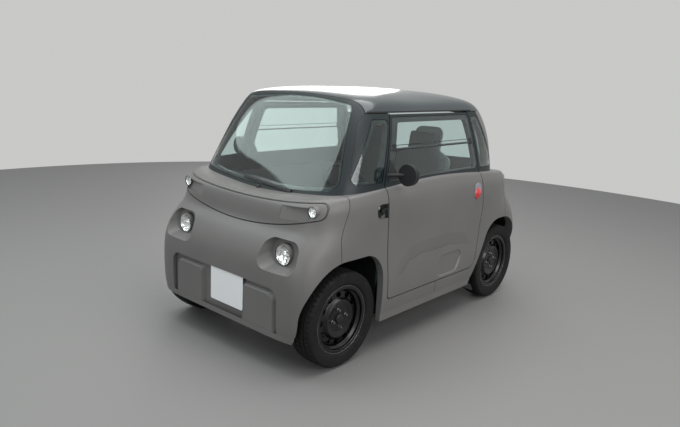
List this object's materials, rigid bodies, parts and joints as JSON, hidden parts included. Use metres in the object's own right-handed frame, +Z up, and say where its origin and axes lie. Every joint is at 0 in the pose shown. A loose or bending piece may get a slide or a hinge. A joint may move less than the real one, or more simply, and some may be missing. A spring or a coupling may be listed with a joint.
{
  "type": "electric microcar",
  "caption": "Small boxy two-seat electric microcar with moulded plastic body, dark cabin frame, round lamps, side doors, steered front wheels and free-rolling wheels.",
  "frame": {"origin": "on the ground, at the centre of the car's length and width", "axes": "front faces -Y, the car's left side is +X, +Z up"},
  "size_m": [1.596, 2.4096, 1.52],
  "materials": {
    "body_plastic": "through-coloured grey-taupe plastic, satin",
    "frame_paint": "blue-grey satin paint",
    "window_glass": "clear glass with a light green tint",
    "lamp_lens": "clear lens over a bright reflector",
    "dark_trim": "grained black plastic",
    "seat_plastic": "pale grey-green plastic",
    "seat_fabric": "woven dark grey fabric",
    "chassis_steel": "black chassis paint",
    "wheel_steel": "gloss black enamel",
    "tyre": "rubber, matt sidewall",
    "battery_case": "plain cast case",
    "motor_case": "plain cast case"
  },
  "bodies": {
    "root": {"front_body": "body_plastic", "rear_body": "body_plastic", "front_strip": "body_plastic", "rear_strip": "body_plastic", "front_lamps": "lamp_lens", "rear_lamps": "lamp_lens", "side_panel_front_left": "body_plastic", "side_panel_rear_right": "body_plastic", "side_panel_rear_left": "body_plastic", "side_panel_front_right": "body_plastic", "cabin_frame": "frame_paint", "rear_surround": "body_plastic", "roof": "frame_paint", "windscreen": "window_glass", "rear_window": "window_glass", "quarter_windows": "window_glass", "wiper": "dark_trim", "door_handles": "dark_trim", "door_hinges": "chassis_steel", "wheel_arch_liners": "dark_trim", "floor_pan": "dark_trim", "chassis_frame": "chassis_steel", "battery_block": "battery_case", "motor_block": "motor_case", "front_suspension": "chassis_steel", "rear_axle": "chassis_steel", "seat_shell_left": "seat_plastic", "seat_shell_right": "seat_plastic", "seat_pads_left": "seat_fabric", "seat_pads_right": "seat_fabric", "dashboard": "dark_trim", "steering_column": "dark_trim", "pedals": "dark_trim"},
    "knuckle_left": {"knuckle_left": "chassis_steel"},
    "knuckle_right": {"knuckle_right": "chassis_steel"},
    "wheel_front_left": {"tyre_front_left": "tyre", "rim_front_left": "wheel_steel"},
    "wheel_front_right": {"tyre_front_right": "tyre", "rim_front_right": "wheel_steel"},
    "wheel_rear_left": {"tyre_rear_left": "tyre", "rim_rear_left": "wheel_steel"},
    "wheel_rear_right": {"tyre_rear_right": "tyre", "rim_rear_right": "wheel_steel"},
    "steering_wheel": {"steering_wheel": "dark_trim"},
    "door_left": {"door_left": "body_plastic", "door_frame_left": "frame_paint", "door_windows_left": "window_glass", "mirror_left": "dark_trim"},
    "door_right": {"door_right": "body_plastic", "door_frame_right": "frame_paint", "door_windows_right": "window_glass", "mirror_right": "dark_trim"}
  },
  "joints": [
    {"name": "steer_left", "type": "hinge", "parent": "root", "child": "knuckle_left", "pos_m": [0.5725, -0.864, 0.2785], "axis": [0, 0, 1], "range_deg": [-32, 32]},
    {"name": "steer_right", "type": "hinge", "parent": "root", "child": "knuckle_right", "pos_m": [-0.5725, -0.864, 0.2785], "axis": [0, 0, 1], "range_deg": [-32, 32]},
    {"name": "steering_turn", "type": "hinge", "parent": "root", "child": "steering_wheel", "pos_m": [0.268, -0.43, 0.905], "axis": [0, 0.9135, 0.4067], "range_deg": [-448, 448]},
    {"name": "roll_front_left", "type": "hinge", "parent": "knuckle_left", "child": "wheel_front_left", "pos_m": [0.5825, -0.864, 0.2785], "axis": [1, 0, 0], "continuous": true},
    {"name": "roll_front_right", "type": "hinge", "parent": "knuckle_right", "child": "wheel_front_right", "pos_m": [-0.5825, -0.864, 0.2785], "axis": [1, 0, 0], "continuous": true},
    {"name": "roll_rear_left", "type": "hinge", "parent": "root", "child": "wheel_rear_left", "pos_m": [0.5825, 0.864, 0.2785], "axis": [1, 0, 0], "continuous": true},
    {"name": "roll_rear_right", "type": "hinge", "parent": "root", "child": "wheel_rear_right", "pos_m": [-0.5825, 0.864, 0.2785], "axis": [1, 0, 0], "continuous": true},
    {"name": "door_left_swing", "type": "hinge", "parent": "root", "child": "door_left", "pos_m": [0.7, 0.561, 0.6], "axis": [0, 0, 1], "range_deg": [0, 75]},
    {"name": "door_right_swing", "type": "hinge", "parent": "root", "child": "door_right", "pos_m": [-0.7, -0.561, 0.6], "axis": [0, 0, 1], "range_deg": [0, 75]}
  ],
  "couplings": [
    {"joint": "steer_right", "follows": "steer_left", "ratio": 1},
    {"joint": "steering_turn", "follows": "steer_left", "ratio": 14}
  ]
}
